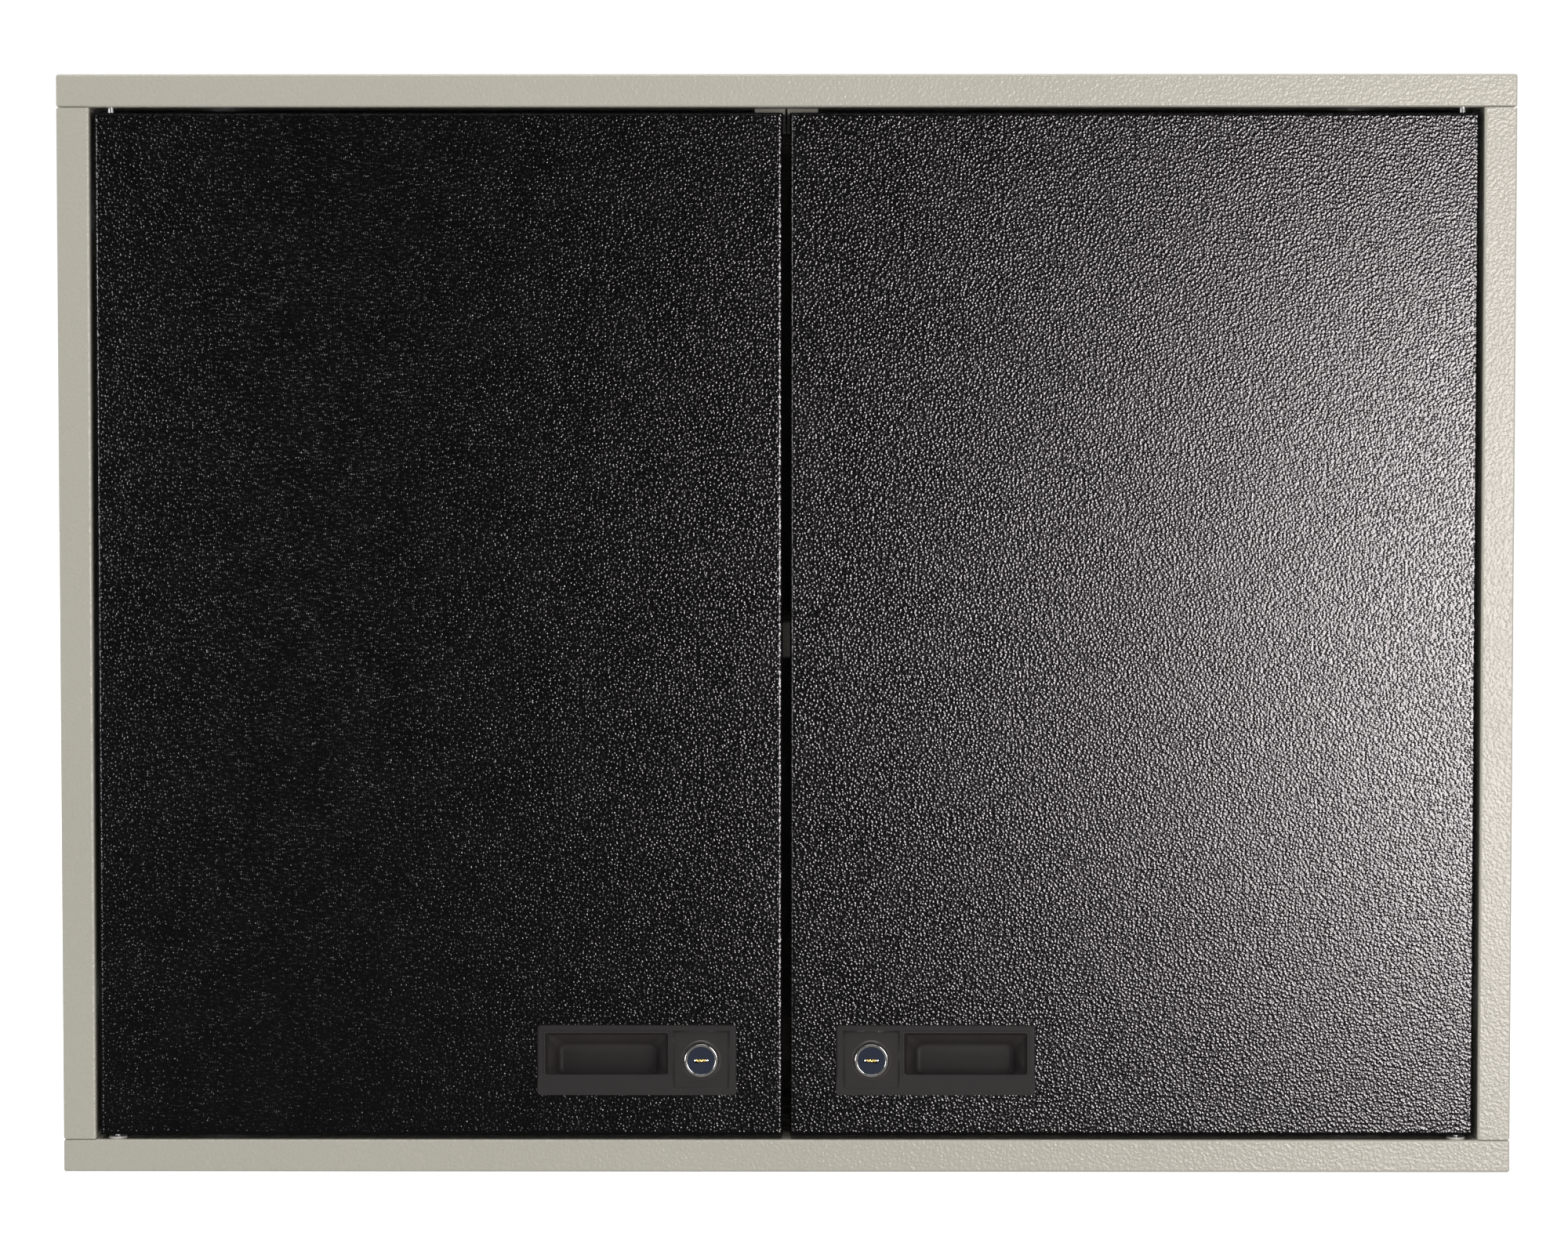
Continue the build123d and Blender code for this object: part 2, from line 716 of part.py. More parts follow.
skirt_corner = handle_hole_corner - handle_hole_clearance


def recess_form(wall, mouth, back, mode):
    """The finger recess from its mouth to its smaller, lower back, grown by a wall, in the open part."""
    with BuildSketch(front_plane(mouth)) as opening:
        with Locations((recess_middle_x, recess_middle_z)):
            RectangleRounded(
                recess_length + 2 * wall,
                recess_height + 2 * wall,
                recess_mouth_radius + wall,
            )
    with BuildSketch(front_plane(back)) as rear:
        with Locations((recess_middle_x, recess_back_middle_z)):
            RectangleRounded(
                recess_back_length + 2 * wall,
                recess_back_height + 2 * wall,
                recess_back_radius + wall,
            )
    loft([opening.sketch, rear.sketch], mode=mode)


with BuildPart() as handle:
    with BuildSketch(front_plane(front)):
        with Locations((handle_middle_x, handle_middle_z)):
            RectangleRounded(handle_length, handle_height, handle_corner)
    extrude(amount=handle_face)
    fillet(handle.edges().group_by(Axis.Y)[0], radius=handle_edge)
    with BuildSketch(Plane.YZ.offset(handle_start)):
        with BuildLine():
            Polyline(
                (front - handle_face, lip_z),
                (front - handle_low_edge, handle_low_z),
                (front - handle_face, handle_low_z),
                close=True,
            )
        make_face()
    extrude(amount=handle_length, mode=Mode.SUBTRACT)
    with BuildSketch(front_plane(front)):
        with Locations((handle_middle_x, handle_middle_z)):
            RectangleRounded(skirt_length, skirt_height, skirt_corner)
    extrude(amount=-handle_skirt)
    with BuildSketch(front_plane(plate_back)):
        with Locations((handle_middle_x, handle_middle_z)):
            Rectangle(skirt_length - 2 * handle_wall, skirt_height - 2 * handle_wall)
    extrude(amount=handle_plate_back - handle_skirt, mode=Mode.SUBTRACT)
    recess_form(handle_wall, front, recess_back + handle_wall, Mode.ADD)
    recess_form(0, recess_front, recess_back, Mode.SUBTRACT)
    floor_middle = (recess_middle_x, recess_back, recess_back_middle_z)
    recess_floor = handle.faces().sort_by_distance(floor_middle)[0]
    fillet(recess_floor.edges(), radius=recess_floor_radius)
    lip_edge = handle.edges().filter_by(Axis.X).sort_by_distance((recess_middle_x, recess_front, lip_z))[0]
    fillet(lip_edge, radius=recess_lip_radius)
    with BuildSketch(front_plane(recess_front)):
        with Locations((recess_middle_x, lip_z)):
            Rectangle(recess_length + 2 * recess_rib, recess_height + recess_rib, align=(Align.CENTER, Align.MIN))
            Rectangle(recess_length, recess_height, align=(Align.CENTER, Align.MIN), mode=Mode.SUBTRACT)
    extrude(amount=recess_rib_height, taper=recess_rib_draft)
    with BuildSketch(front_plane(pad_front)):
        with Locations((lock_x, lock_z)):
            Rectangle(lock_pad_length, handle_height - 2 * lock_pad_margin)
    extrude(amount=handle_face, taper=-lock_pad_draft, mode=Mode.SUBTRACT)
    with BuildSketch(front_plane(pad_front)) as lock_hole:
        with Locations((lock_x, lock_z)):
            Circle(barrel_diameter / 2 + barrel_clearance)
            Rectangle(barrel_diameter * 2, barrel_flats + 2 * barrel_clearance, mode=Mode.INTERSECT)
    extrude(amount=pad_front - plate_back, mode=Mode.SUBTRACT)
    snap_root = front + door_sheet + snap_gap
    for side in (1, -1):
        snap_base = side * skirt_height / 2 + handle_middle_z
        for snap_x in (handle_start + snap_from_end, handle_end - snap_from_end):
            with BuildSketch(Plane.YZ.offset(snap_x - snap_length / 2)):
                with BuildLine():
                    Polyline(
                        (snap_root, snap_base),
                        (snap_root, snap_base + side * snap_height),
                        (snap_root + snap_run, snap_base),
                        close=True,
                    )
                make_face()
            extrude(amount=snap_length)
keep_pair(handle, "handle")

# Cam lock
lock_axis = Axis((lock_x, 0, lock_z), (0, 1, 0))
lock_plane = Plane((lock_x, 0, lock_z))
rim_front = pad_front - collar_height
plug_front = rim_front + plug_sunk
plug_shoulder = plug_front + plug_head_thickness
barrel_end = cam_front - barrel_end_gap
plug_head_hole = plug_head_diameter / 2 + plug_clearance
plug_hole = plug_diameter / 2 + plug_clearance

with BuildPart() as lock_housing:
    with BuildSketch(lock_plane):
        with BuildLine():
            Polyline(
                (plug_head_hole, rim_front),
                (plug_head_hole + collar_rim, rim_front),
                (collar_base_diameter / 2, pad_front),
                (barrel_diameter / 2, pad_front),
                (barrel_diameter / 2, barrel_end),
                (plug_hole, barrel_end),
                (plug_hole, plug_shoulder + plug_end_gap),
                (plug_head_hole, plug_shoulder + plug_end_gap),
                close=True,
            )
        make_face()
    revolve(axis=lock_axis)
    fillet(lock_housing.edges().group_by(Axis.Y)[0], radius=collar_edge)
    with BuildSketch(front_plane(pad_front)):
        with Locations((lock_x, lock_z)):
            with GridLocations(0, barrel_flats + barrel_diameter, 1, 2):
                Rectangle(2 * barrel_diameter, barrel_diameter)
    extrude(amount=pad_front - barrel_end, mode=Mode.SUBTRACT)
keep_pair(lock_housing, "lock_housing")

with BuildPart() as lock_nut:
    with BuildSketch(front_plane(plate_back)):
        with Locations((lock_x, lock_z)):
            RegularPolygon(lock_nut_across_flats / 2, 6, major_radius=False)
            Circle(barrel_diameter / 2 + thread_clearance, mode=Mode.SUBTRACT)
    extrude(amount=-lock_nut_height)
keep_pair(lock_nut, "lock_nut")

with BuildPart() as lock_plug:
    with BuildSketch(lock_plane):
        with BuildLine():
            Polyline(
                (0, plug_front),
                (plug_head_diameter / 2, plug_front),
                (plug_head_diameter / 2, plug_shoulder),
                (plug_diameter / 2, plug_shoulder),
                (plug_diameter / 2, cam_front),
                (0, cam_front),
                close=True,
            )
        make_face()
    revolve(axis=lock_axis)
    with BuildSketch(front_plane(cam_front)):
        with Locations((lock_x, lock_z)):
            Rectangle(plug_tail, plug_tail)
    extrude(amount=-cam_thickness)
    with BuildSketch(front_plane(cam_back)):
        with Locations((lock_x, lock_z)):
            Circle(cam_screw_diameter / 2 + thread_clearance)
    extrude(amount=cam_screw_length, mode=Mode.SUBTRACT)
    with BuildSketch(front_plane(plug_front)):
        with Locations((lock_x, lock_z)):
            Rectangle(keyway_length, keyway_width)
        with Locations((lock_x - keyway_length / 4, lock_z + keyway_step / 2)):
            Rectangle(keyway_length / 4, keyway_width)
        with Locations((lock_x + keyway_length / 4, lock_z - keyway_step / 2)):
            Rectangle(keyway_length / 4, keyway_width)
    extrude(amount=-keyway_depth, mode=Mode.SUBTRACT)
keep_pair(lock_plug, "lock_plug")

# Cam: lies outwards behind the recess when open, and turns down behind the bottom tray's return to lock
with BuildPart() as lock_cam:
    with BuildSketch(front_plane(cam_front)):
        with Locations((lock_x, lock_z)):
            Circle(cam_root_diameter / 2)
        with Locations((lock_x + cam_length - cam_tip_diameter / 2, lock_z)):
            Circle(cam_tip_diameter / 2)
        make_hull()
        with Locations((lock_x, lock_z)):
            Rectangle(
                plug_tail + 2 * cam_hole_clearance,
                plug_tail + 2 * cam_hole_clearance,
                mode=Mode.SUBTRACT,
            )
    extrude(amount=-cam_thickness)
keep_pair(lock_cam, "lock_cam")

with BuildPart() as cam_screw:
    with BuildSketch(front_plane(cam_back)):
        with Locations((lock_x, lock_z)):
            Circle(cam_screw_washer_diameter / 2)
    extrude(amount=-cam_screw_washer_height)
    with BuildSketch(front_plane(cam_back + cam_screw_washer_height)):
        with Locations((lock_x, lock_z)):
            RegularPolygon(cam_screw_head_across_flats / 2, 6, major_radius=False)
    extrude(amount=-cam_screw_head_height)
    with BuildSketch(front_plane(cam_back)):
        with Locations((lock_x, lock_z)):
            Circle(cam_screw_diameter / 2)
    extrude(amount=cam_screw_length - thread_clearance)
keep_pair(cam_screw, "cam_screw")
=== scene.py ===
"""Looks of the hanging wall cabinet: coats, plastics and metals, small fittings, light and camera."""
import json
import math

import bmesh
import bpy
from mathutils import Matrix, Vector


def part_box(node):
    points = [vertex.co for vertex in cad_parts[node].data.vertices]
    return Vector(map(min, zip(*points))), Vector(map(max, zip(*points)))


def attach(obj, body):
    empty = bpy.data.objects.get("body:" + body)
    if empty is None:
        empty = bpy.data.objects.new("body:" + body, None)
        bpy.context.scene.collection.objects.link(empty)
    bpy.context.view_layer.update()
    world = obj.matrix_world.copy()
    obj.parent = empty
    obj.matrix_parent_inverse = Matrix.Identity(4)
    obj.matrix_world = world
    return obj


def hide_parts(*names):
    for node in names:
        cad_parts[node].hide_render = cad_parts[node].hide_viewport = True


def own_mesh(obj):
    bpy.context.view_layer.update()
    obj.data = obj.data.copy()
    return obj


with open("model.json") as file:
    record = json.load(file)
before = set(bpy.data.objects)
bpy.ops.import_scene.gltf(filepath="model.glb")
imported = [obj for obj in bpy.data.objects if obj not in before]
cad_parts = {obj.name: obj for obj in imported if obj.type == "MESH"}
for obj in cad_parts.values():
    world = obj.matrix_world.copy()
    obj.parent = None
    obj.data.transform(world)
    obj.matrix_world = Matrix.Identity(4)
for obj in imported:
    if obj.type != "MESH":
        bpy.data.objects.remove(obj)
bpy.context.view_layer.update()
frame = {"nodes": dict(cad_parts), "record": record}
nodes_by_name = frame["nodes"]
MM = 0.001
hands = ("left", "right")


# Node helpers

# Sockets of a colour Mix node, by number because other data types share their names
FACTOR = 0
FIRST = 6
SECOND = 7
MIXED = 2


class Surface:
    """One material, with short names for the nodes that it is made of."""

    def __init__(self, name):
        self.material = bpy.data.materials.new(name)
        self.material.use_nodes = True
        self.tree = self.material.node_tree
        self.shader = self.tree.nodes["Principled BSDF"]
        self.point = self.node("ShaderNodeTexCoord").outputs["Object"]
        self.normal = None

    def node(self, kind, **settings):
        """A new node with some of its settings."""
        made = self.tree.nodes.new(kind)
        for key, value in settings.items():
            setattr(made, key, value)
        return made

    def join(self, source, target):
        """Link an output to an input."""
        self.tree.links.new(source, target)

    def set(self, **values):
        """Plain values on the shader's own sockets, with spaces written as underscores."""
        for key, value in values.items():
            self.shader.inputs[key.replace("_", " ")].default_value = value

    def stretched(self, along):
        """The surface point with each axis scaled, for drawn or brushed lines."""
        scaled = self.node("ShaderNodeMapping")
        scaled.inputs["Scale"].default_value = along
        self.join(self.point, scaled.inputs["Vector"])
        return scaled.outputs["Vector"]

    def laid_flat(self):
        """The surface point laid on a plane, so that front, sides and ends each carry a flat pattern."""
        flat = self.node("ShaderNodeCombineXYZ")
        for socket, axes in (("X", (1.0, 1.0, 0.0)), ("Y", (0.0, 1.0, 1.0))):
            along = self.node("ShaderNodeVectorMath", operation="DOT_PRODUCT")
            along.inputs[1].default_value = axes
            self.join(self.point, along.inputs[0])
            self.join(along.outputs["Value"], flat.inputs[socket])
        return flat.outputs["Vector"]

    def noise(self, scale, detail=2.0, rough=0.5, point=None):
        """Smooth noise from 0 to 1."""
        made = self.node("ShaderNodeTexNoise")
        made.inputs["Scale"].default_value = scale
        made.inputs["Detail"].default_value = detail
        made.inputs["Roughness"].default_value = rough
        self.join(point or self.point, made.inputs["Vector"])
        return made

    def pebbles(self, scale):
        """Round bumps from 0 to 1 that lie side by side, as in a cast powder coat."""
        cells = self.node("ShaderNodeTexVoronoi", voronoi_dimensions="2D")
        cells.inputs["Scale"].default_value = scale
        self.join(self.laid_flat(), cells.inputs["Vector"])
        pebble_radius = 0.54
        return self.spread(cells.outputs["Distance"], 0.0, pebble_radius, 1.0, 0.0, True)

    def spread(self, value, low, high, to_low, to_high, smooth=False):
        """Map a range of one value to another range."""
        made = self.node("ShaderNodeMapRange")
        if smooth:
            made.interpolation_type = "SMOOTHSTEP"
        for key, number in zip(("From Min", "From Max", "To Min", "To Max"), (low, high, to_low, to_high)):
            made.inputs[key].default_value = number
        self.join(value, made.inputs["Value"])
        return made.outputs["Result"]

    def blend(self, factor, first, second):
        """A colour between two colours."""
        made = self.node("ShaderNodeMix", data_type="RGBA")
        made.inputs[FIRST].default_value = (*first, 1.0)
        made.inputs[SECOND].default_value = (*second, 1.0)
        self.join(factor, made.inputs[FACTOR])
        return made.outputs[MIXED]

    def graded(self, axis, start, end, *tones):
        """A grey that changes along one axis of a piece at rest, from pairs of place and tone."""
        along = self.node("ShaderNodeSeparateXYZ")
        self.join(self.point, along.inputs[0])
        ramp = self.node("ShaderNodeValToRGB")
        stops = ramp.color_ramp.elements
        while len(stops) < len(tones):
            stops.new(0.5)
        for stop, (place, tone) in zip(stops, tones):
            stop.position = place
            stop.color = (tone, tone, tone, 1.0)
        self.join(self.spread(along.outputs[axis], start, end, 0.0, 1.0), ramp.inputs["Fac"])
        return ramp.outputs["Color"]

    def facing_back(self):
        """1 where the piece faces its back at rest, 0 on its front and its edges."""
        along = self.node("ShaderNodeSeparateXYZ")
        self.join(self.node("ShaderNodeTexCoord").outputs["Normal"], along.inputs[0])
        least_turned = 0.2
        most_turned = 0.6
        return self.spread(along.outputs["Y"], least_turned, most_turned, 0.0, 1.0)

    def shaded(self, colour, tone):
        """Base colour from a colour times a grey."""
        made = self.node("ShaderNodeMix", data_type="RGBA", blend_type="MULTIPLY")
        made.inputs[FACTOR].default_value = 1.0
        self.join(colour, made.inputs[FIRST])
        self.join(tone, made.inputs[SECOND])
        self.join(made.outputs[MIXED], self.shader.inputs["Base Color"])

    def faced(self, front, back):
        """Base colour from one colour on the front and another on the back."""
        made = self.node("ShaderNodeMix", data_type="RGBA")
        self.join(self.facing_back(), made.inputs[FACTOR])
        self.join(front, made.inputs[FIRST])
        self.join(back, made.inputs[SECOND])
        self.join(made.outputs[MIXED], self.shader.inputs["Base Color"])

    def bump(self, height, depth):
        """Raise the surface by height times depth, in metres."""
        made = self.node("ShaderNodeBump")
        made.inputs["Strength"].default_value = 1.0
        made.inputs["Distance"].default_value = depth
        self.join(height, made.inputs["Height"])
        if self.normal:
            self.join(self.normal, made.inputs["Normal"])
        self.normal = made.outputs["Normal"]
        self.join(self.normal, self.shader.inputs["Normal"])

    def colour(self, factor, first, second):
        """Base colour between two colours."""
        self.join(self.blend(factor, first, second), self.shader.inputs["Base Color"])

    def roughness(self, value, low, high):
        """Roughness between two values."""
        noise_low = 0.3
        noise_high = 0.7
        self.join(self.spread(value, noise_low, noise_high, low, high), self.shader.inputs["Roughness"])


# Materials

def frame_coat():
    """Warm light-grey powder coat with orange peel and shallow pebbles."""
    coat = Surface("frame_coat")
    cloud = coat.noise(9.0, 3.0).outputs["Fac"]
    coat.colour(cloud, (0.42, 0.405, 0.343), (0.445, 0.43, 0.366))
    coat.bump(coat.noise(500.0, 1.5, 0.45).outputs["Fac"], 0.0003)
    coat.bump(coat.pebbles(510.0), 0.00007)
    coat.roughness(coat.noise(60.0).outputs["Fac"], 0.24, 0.3)
    return coat.material


def door_coat():
    """Black half-gloss powder coat with round pebbles, with painted light on the back: a lighter grey that
    stands in for light the front lamps don't give it.
    """
    coat = Surface("door_coat")
    coat.bump(coat.noise(730.0, 1.0, 0.4).outputs["Fac"], 0.000165)
    coat.bump(coat.pebbles(510.0), 0.000112)
    cloud = coat.noise(14.0, 3.0).outputs["Fac"]
    front = coat.blend(cloud, (0.002, 0.0018, 0.0022), (0.0028, 0.0026, 0.003))
    # painted light: the back faces get a lighter grey than the front, in place of light that doesn't reach
    # them
    coat.faced(front, coat.blend(cloud, (0.026, 0.025, 0.026), (0.034, 0.033, 0.034)))
    coat.roughness(coat.noise(40.0).outputs["Fac"], 0.14, 0.18)
    coat.set(Specular_IOR_Level=0.055)
    return coat.material


def handle_plastic():
    """Dark grey moulded plastic with a fine matt grain. Its ribs are paler, partly from wear and partly as a
    painted highlight, and the walls and floor of the recess carry painted light over their shade.
    """
    rib_front = -0.3028
    recess_back = -0.2872
    rib_wear_and_highlight = (0.0, 0.66)
    plate = ((0.035, 0.45), (0.12, 0.45))
    painted_light_on_recess_walls = ((0.3, 1.0), (0.72, 1.0))
    painted_light_on_recess_floor = (0.97, 0.78)
    plastic = Surface("handle_plastic")
    cloud = plastic.noise(70.0, 4.0).outputs["Fac"]
    mottle = plastic.blend(cloud, (0.028, 0.0245, 0.0245), (0.0375, 0.0333, 0.0333))
    # painted light: the grey along Y is paler on the ribs (wear and painted highlight) and in the recess
    # (painted light over its shade)
    tone = plastic.graded("Y", rib_front, recess_back, rib_wear_and_highlight, *plate, *painted_light_on_recess_walls, painted_light_on_recess_floor)
    plastic.shaded(mottle, tone)
    plastic.bump(plastic.noise(2600.0, 2.0).outputs["Fac"], 0.00003)
    plastic.roughness(plastic.noise(220.0, 3.0).outputs["Fac"], 0.48, 0.58)
    plastic.set(Specular_IOR_Level=0.2)
    return plastic.material


def metal(name, dark, light, rough, lines, depth):
    """Bare or plated metal with fine lines along one axis."""
    made = Surface(name)
    streaks = made.noise(1.0, 3.0, 0.6, made.stretched(lines)).outputs["Fac"]
    made.colour(made.noise(120.0, 3.0).outputs["Fac"], dark, light)
    made.roughness(streaks, *rough)
    made.bump(streaks, depth)
    made.set(Metallic=1.0)
    return made.material


def collar_chrome():
    """Polished chrome of the lock's collar, with a painted dark reflection on its rim."""
    rim_front = -0.3038
    collar_foot = -0.3008
    made = Surface("lock_chrome")
    mottle = made.blend(made.noise(120.0, 3.0).outputs["Fac"], (0.82, 0.8, 0.77), (0.9, 0.88, 0.85))
    # painted reflection: the collar's colour is darkened toward its front rim, as chrome reflecting a dark
    # room
    made.shaded(mottle, made.graded("Y", rim_front, collar_foot, (0.0, 0.26), (0.25, 0.3), (0.4, 1.0)))
    made.roughness(made.noise(900.0, 3.0).outputs["Fac"], 0.05, 0.1)
    made.set(Metallic=1.0)
    return made.material


def catch_plastic():
    """Moulded plastic of the catches, pale along the upper edge that shows over the doors, with painted
    shade below, where the doors shade the body.
    """
    under_edge = 0.28
    over_edge = 0.284
    made = Surface("catch_plastic")
    mottle = made.blend(made.noise(150.0, 3.0).outputs["Fac"], (0.50, 0.48, 0.42), (0.58, 0.56, 0.5))
    # painted shade: the grey drops to a dark tone below the upper edge, where the doors shade the catch
    made.shaded(mottle, made.graded("Z", under_edge, over_edge, (0.0, 0.06), (0.375, 0.06), (0.5, 1.0)))
    made.roughness(made.noise(300.0, 2.0).outputs["Fac"], 0.4, 0.52)
    made.bump(made.noise(1500.0, 2.0).outputs["Fac"], 0.00001)
    return made.material


def plain_plastic(name, dark, light, rough, grain):
    """Moulded plastic or sintered stuff with a grain."""
    made = Surface(name)
    made.colour(made.noise(150.0, 3.0).outputs["Fac"], dark, light)
    made.roughness(made.noise(300.0, 2.0).outputs["Fac"], *rough)
    made.bump(made.noise(1500.0, 2.0).outputs["Fac"], grain)
    return made.material


drawn = (1500, 1500, 60)
rolled = (700, 700, 700)
fine = (900, 900, 900)
stamped = (1200, 1200, 1200)
metals = {
    "zinc_steel": ((0.50, 0.51, 0.52), (0.63, 0.63, 0.62), (0.28, 0.42), rolled, 0.01 * MM),
    "pin_steel": ((0.70, 0.70, 0.70), (0.80, 0.80, 0.80), (0.12, 0.22), drawn, 0.004 * MM),
    "spring_steel": ((0.34, 0.34, 0.35), (0.46, 0.46, 0.47), (0.2, 0.34), fine, 0.004 * MM),
    # the plug face's dark blue base colour is a painted dark reflection of its surroundings
    "plug_chrome_painted_reflection": ((0.042, 0.05, 0.078), (0.055, 0.064, 0.095), (0.08, 0.16), fine, 0.002 * MM),
    "brass": ((0.5, 0.33, 0.1), (0.62, 0.42, 0.15), (0.18, 0.3), stamped, 0.004 * MM),
    "nickel": ((0.75, 0.73, 0.7), (0.82, 0.8, 0.77), (0.1, 0.18), stamped, 0.003 * MM),
}
plastics = {
    "bush_nylon": ((0.70, 0.69, 0.64), (0.77, 0.76, 0.72), (0.38, 0.5), 0.01 * MM),
    "magnet": ((0.05, 0.05, 0.055), (0.085, 0.085, 0.09), (0.5, 0.66), 0.02 * MM),
}
finishes = {
    "frame_coat": frame_coat(),
    "door_coat": door_coat(),
    "handle_plastic": handle_plastic(),
    "lock_chrome": collar_chrome(),
    "catch_plastic": catch_plastic(),
}
finishes.update({name: metal(name, *look) for name, look in metals.items()})
finishes.update({name: plain_plastic(name, *look) for name, look in plastics.items()})
for part in frame["record"]["subparts"]:
    solid = nodes_by_name[part["node"]]
    solid.data.materials.clear()
    solid.data.materials.append(finishes[part["material_slot"]])


# Small pieces

def piece(name, form, finish, body):
    """Turn a form into a smooth object that rides on a body."""
    bmesh.ops.recalc_face_normals(form, faces=form.faces)
    mesh = bpy.data.meshes.new(name)
    form.to_mesh(mesh)
    form.free()
    mesh.shade_smooth()
    mesh.materials.append(finish)
    made = bpy.data.objects.new(name, mesh)
    bpy.context.collection.objects.link(made)
    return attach(made, body)


def skinned(rings):
    """A closed form with a skin over rings of points, each ring with as many points as the next."""
    form = bmesh.new()
    loops = [[form.verts.new(point) for point in ring] for ring in rings]
    count = len(loops[0])
    for near, far in zip(loops, loops[1:]):
        for step in range(count):
            after = (step + 1) % count
            form.faces.new((near[step], near[after], far[after], far[step]))
    form.faces.new(loops[0])
    form.faces.new(loops[-1])
    return form


def circle(steps):
    """Even angles round a circle."""
    return [2 * math.pi * step / steps for step in range(steps)]


def turned(profile, centre):
    """A form turned about an axis along Y, from pairs of radius and depth in millimetres."""
    return skinned([
        [
            centre + MM * Vector((radius * math.cos(angle), depth, radius * math.sin(angle)))
            for angle in circle(24)
        ]
        for radius, depth in profile
    ])


def notched_plate(centre, half_length, half_height, notch, thickness):
    """A plate that faces the front, with bevelled edges and a notch in its upper edge, in millimetres."""
    notch_top = 0.5 * half_length
    notch_foot = 0.3 * half_length
    outline = [
        (-half_length, -half_height),
        (half_length, -half_height),
        (half_length, half_height),
        (notch_top, half_height),
        (notch_foot, half_height - notch),
        (-notch_foot, half_height - notch),
        (-notch_top, half_height),
        (-half_length, half_height),
    ]
    bevel_share = 0.85
    bevel_depth = 0.12
    return skinned([
        [centre + MM * Vector((share * x, depth, share * z)) for x, z in outline]
        for share, depth in ((bevel_share, 0.0), (1.0, bevel_depth), (1.0, thickness))
    ])


# Wafers and guide pins that show in the keyways

guide_nose = [(0.05, 0.0), (0.4, 0.06), (0.68, 0.22), (0.84, 0.46), (0.9, 0.8), (0.9, 5.0)]
guide_across = 3.4
guide_sunk = 0.15
wafer_half_length = 0.85
wafer_half_height = 0.92
wafer_thickness = 0.6
wafers = [(-1.55, 0.5, 0.5), (0.05, 1.1, 0.7), (1.6, 0.8, 0.4)]
lock_fronts = [f"{hand}_{name}" for hand in hands for name in ("lock_housing", "lock_plug")]
for hand in hands:
    plug = nodes_by_name[f"{hand}_lock_plug"]
    # the plug face takes a chrome with a painted dark blue reflection in its base colour
    plug.data.materials[0] = finishes["plug_chrome_painted_reflection"]
    low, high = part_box(f"{hand}_lock_plug")
    face = Vector(((low.x + high.x) / 2, low.y, (low.z + high.z) / 2))
    for side, end in (("inner", -1), ("outer", 1)):
        guide = turned(guide_nose, face + MM * Vector((guide_across * end, guide_sunk, 0)))
        shown = piece(f"{hand}_{side}_keyway_guide", guide, finishes["nickel"], f"{hand}_lock")
        lock_fronts.append(shown.name)
    for number, (across, depth, notch) in enumerate(wafers):
        middle = face + MM * Vector((across, depth, 0))
        wafer = notched_plate(middle, wafer_half_length, wafer_half_height, notch, wafer_thickness)
        shown = piece(f"{hand}_wafer_{number}", wafer, finishes["brass"], f"{hand}_lock")
        lock_fronts.append(shown.name)


# Springs of the upper pins, as coils at their rest length that ride on the doors; the real springs shorten
# when the pins are drawn down

wire = 0.4 * MM
turns = 7
steps = 28 * turns
end_crowding = 0.115
for hand in hands:
    low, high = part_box(f"{hand}_pin_spring")
    axis = Vector(((low.x + high.x) / 2, (low.y + high.y) / 2, 0))
    coil_radius = (high.x - low.x) / 2 - wire
    rise = high.z - low.z - 2 * wire
    rings = []
    for step in range(steps + 1):
        share = step / steps
        angle = 2 * math.pi * turns * share
        lift = share - end_crowding * math.sin(2 * math.pi * share)
        outward = Vector((math.cos(angle), math.sin(angle), 0))
        middle = axis + coil_radius * outward + Vector((0, 0, low.z + wire + rise * lift))
        rings.append([
            middle + wire * (outward * math.cos(spin) + Vector((0, 0, math.sin(spin))))
            for spin in circle(10)
        ])
    coil = piece(f"{hand}_spring_coil", skinned(rings), finishes["spring_steel"], f"{hand}_door")
    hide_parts(f"{hand}_pin_spring")
    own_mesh(coil)


# Floor

floor_level = -0.58
floor_reach = 30.0
floor_form = bmesh.new()
bmesh.ops.create_grid(floor_form, x_segments=2, y_segments=2, size=floor_reach)
floor_mesh = bpy.data.meshes.new("floor")
floor_form.to_mesh(floor_mesh)
floor_form.free()
floor = bpy.data.objects.new("floor", floor_mesh)
floor.location.z = floor_level
bpy.context.collection.objects.link(floor)
paper = Surface("floor_paper")
paper.colour(paper.noise(3.0).outputs["Fac"], (0.54, 0.54, 0.54), (0.56, 0.56, 0.56))
paper.set(Roughness=0.9)
floor_mesh.materials.append(paper.material)


# Light

def softbox(name, place, aim, size, brightness, tint, shone_on=(), gloss_only=False):
    """A rectangular lamp of even brightness that faces a point.

    It can shine on named objects only, or as gloss only.
    """
    lamp = bpy.data.lights.new(name, "AREA")
    lamp.shape = "RECTANGLE"
    lamp.size, lamp.size_y = size
    lamp.energy = brightness * lamp.size * lamp.size_y * math.pi
    lamp.color = tint
    made = bpy.data.objects.new(name, lamp)
    made.location = place
    made.rotation_euler = (Vector(aim) - Vector(place)).to_track_quat("-Z", "Y").to_euler()
    made.visible_camera = False
    made.visible_diffuse = not gloss_only
    bpy.context.collection.objects.link(made)
    if shone_on:
        made.light_linking.receiver_collection = bpy.data.collections.new(name)
        for node in shone_on:
            made.light_linking.receiver_collection.objects.link(bpy.data.objects[node])


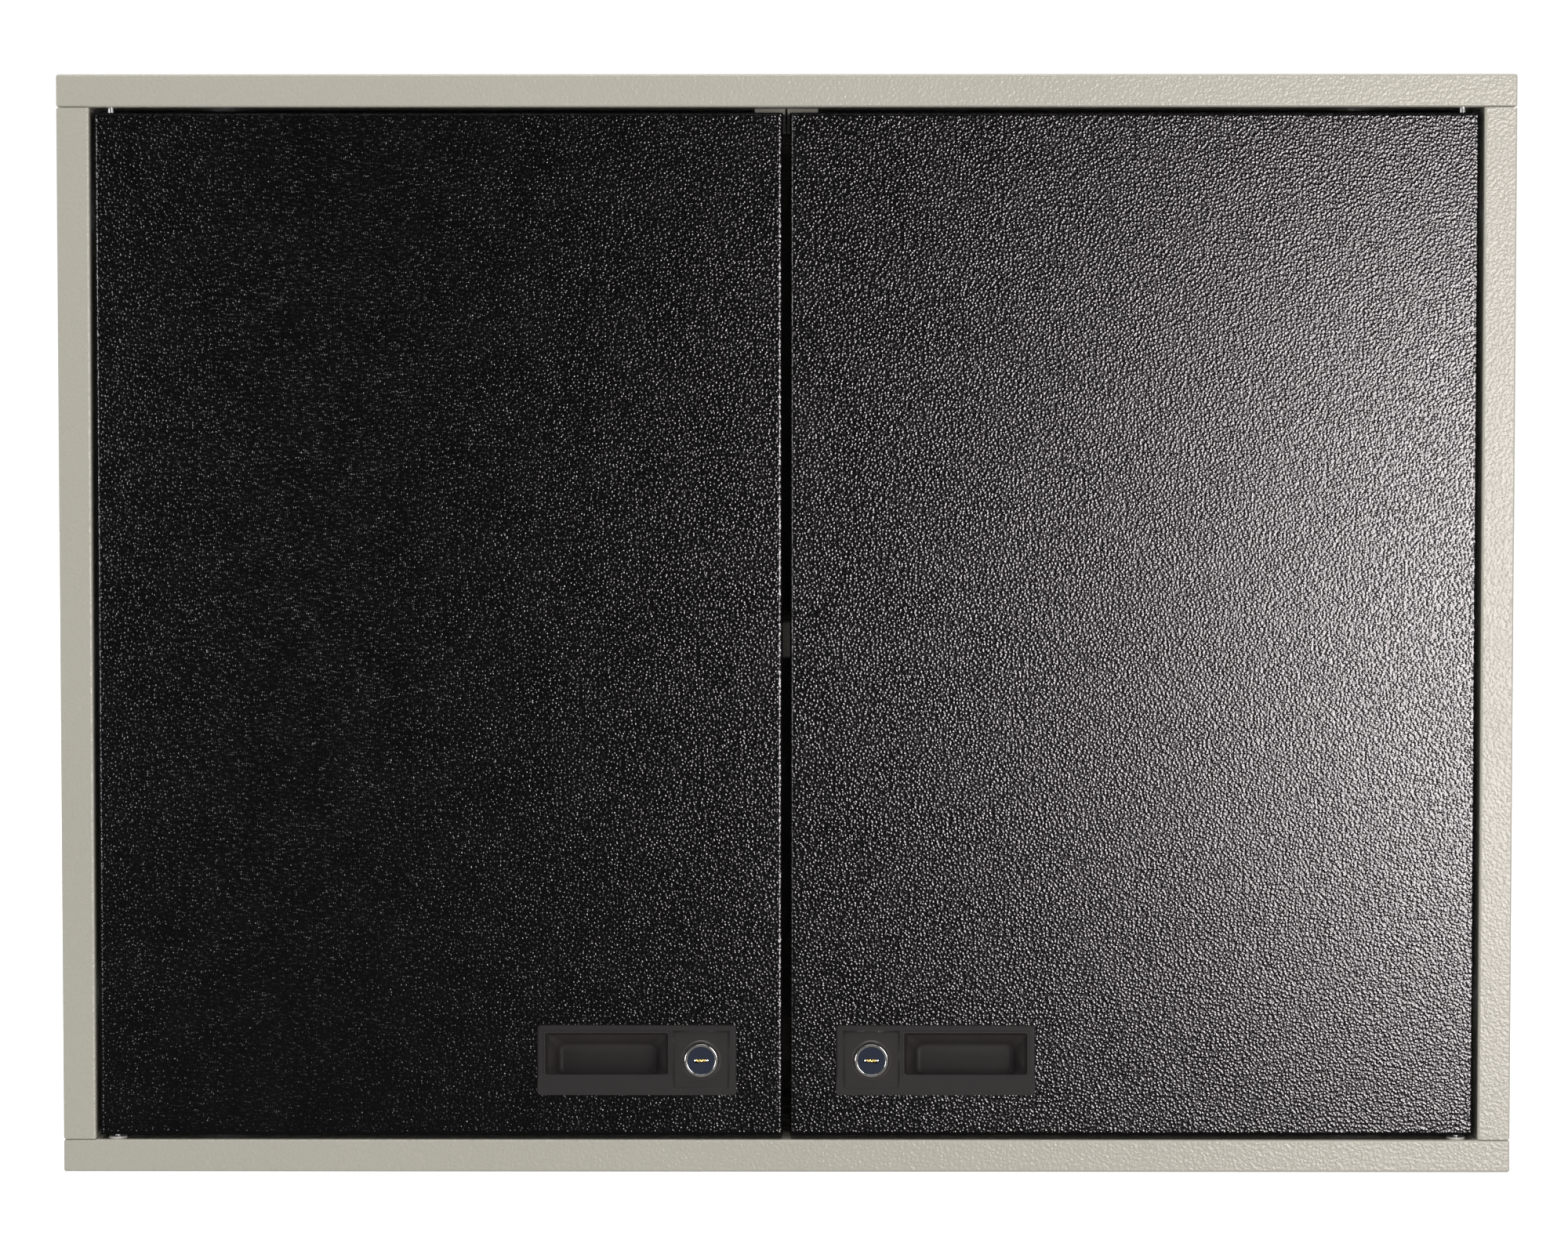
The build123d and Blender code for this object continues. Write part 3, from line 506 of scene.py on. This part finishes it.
doors = ["left_door_skin", "right_door_skin"]
handles = ["left_handle", "right_handle"]
panels = ["top_tray", "bottom_tray", "left_side_panel", "right_side_panel"]
meshes = [made.name for made in bpy.data.objects if made.type == "MESH"]
others = [name for name in meshes if name not in doors + ["floor"]]

warm = (1.0, 0.935, 0.945)
cream = (1.0, 0.94, 0.93)
rosy = (1.0, 0.89, 0.92)
white = (1.0, 1.0, 1.0)
cool = (0.98, 0.98, 1.0)
key_place = (1.24, -2.5, -0.11)
key_size = (1.2, 0.85)
key_aim = (0.2, -0.3, 0.0)
left_aim = (-0.3, -0.3, 0.0)
lock_aim = (0.0, -0.3, -0.24)
floor_middle = Vector((0.0, 20.0, floor_level))

softbox("door_key_light", key_place, key_aim, key_size, 200.0, warm, doors, True)
softbox("door_wide_light", (1.32, -2.62, -0.2), key_aim, (1.9, 1.3), 40.0, warm, doors, True)
softbox("frame_key_light", key_place, key_aim, key_size, 6.6, cream, others)
softbox("frame_gloss_light", (1.12, -2.5, -0.5), key_aim, (1.4, 1.9), 7.0, rosy, panels, True)
softbox("handle_low_light", (0.0, -0.62, -0.52), (0.0, -0.29, -0.24), (0.8, 0.12), 2.4, warm, handles)
softbox("handle_right_light", (1.0, -2.2, -0.6), (0.2, -0.3, -0.24), (0.8, 0.8), 14.0, warm, handles, True)
softbox("door_left_light", (-1.75, -2.3, 0.1), left_aim, (0.7, 0.9), 95.0, cool, doors, True)
softbox("frame_left_light", (-2.4, -1.7, 0.1), left_aim, (1.0, 0.9), 2.4, cool, others)
softbox("lock_right_light", (1.5, -2.0, 0.6), lock_aim, (0.8, 1.6), 26.0, white, lock_fronts, True)
softbox("lock_left_light", (-1.5, -2.0, -0.52), lock_aim, (0.8, 1.2), 26.0, white, lock_fronts, True)
softbox("top_light", (0.0, -1.5, 2.0), (0.0, -0.3, 0.2), (2.0, 0.8), 5.0, white)
softbox("floor_light", floor_middle + Vector((0, 0, 2.0)), floor_middle, (64.0, 40.0), 1.6, white, ["floor"])

world = bpy.data.worlds.new("studio")
bpy.context.scene.world = world
world.use_nodes = True
sky = world.node_tree
direction = sky.nodes.new("ShaderNodeTexCoord")
axes = sky.nodes.new("ShaderNodeSeparateXYZ")
sky.links.new(direction.outputs["Generated"], axes.inputs[0])
fall = sky.nodes.new("ShaderNodeMapRange")
fall.interpolation_type = "SMOOTHSTEP"
for key, number in (("From Min", -0.95), ("From Max", 0.3), ("To Min", 0.27), ("To Max", 1.05)):
    fall.inputs[key].default_value = number
sky.links.new(axes.outputs["Y"], fall.inputs["Value"])
glow = sky.nodes["Background"]
glow.inputs["Color"].default_value = (1.0, 1.0, 1.0, 1.0)
sky.links.new(fall.outputs["Result"], glow.inputs["Strength"])
bpy.context.scene.view_settings.view_transform = "Standard"


# Camera

image_width = 2000.0
focal_pixels = 5340.0
eye = Vector((0.008, -2.601, 0.100))
turn = math.radians(-0.23)
tilt = math.radians(-2.5)
lens = bpy.data.cameras.new("camera")
lens.sensor_width = 36.0
lens.lens = focal_pixels * lens.sensor_width / image_width
camera = bpy.data.objects.new("camera", lens)
camera.location = eye
ahead = Vector((math.sin(turn) * math.cos(tilt), math.cos(turn) * math.cos(tilt), math.sin(tilt)))
camera.rotation_euler = ahead.to_track_quat("-Z", "Y").to_euler()
bpy.context.collection.objects.link(camera)
bpy.context.scene.camera = camera
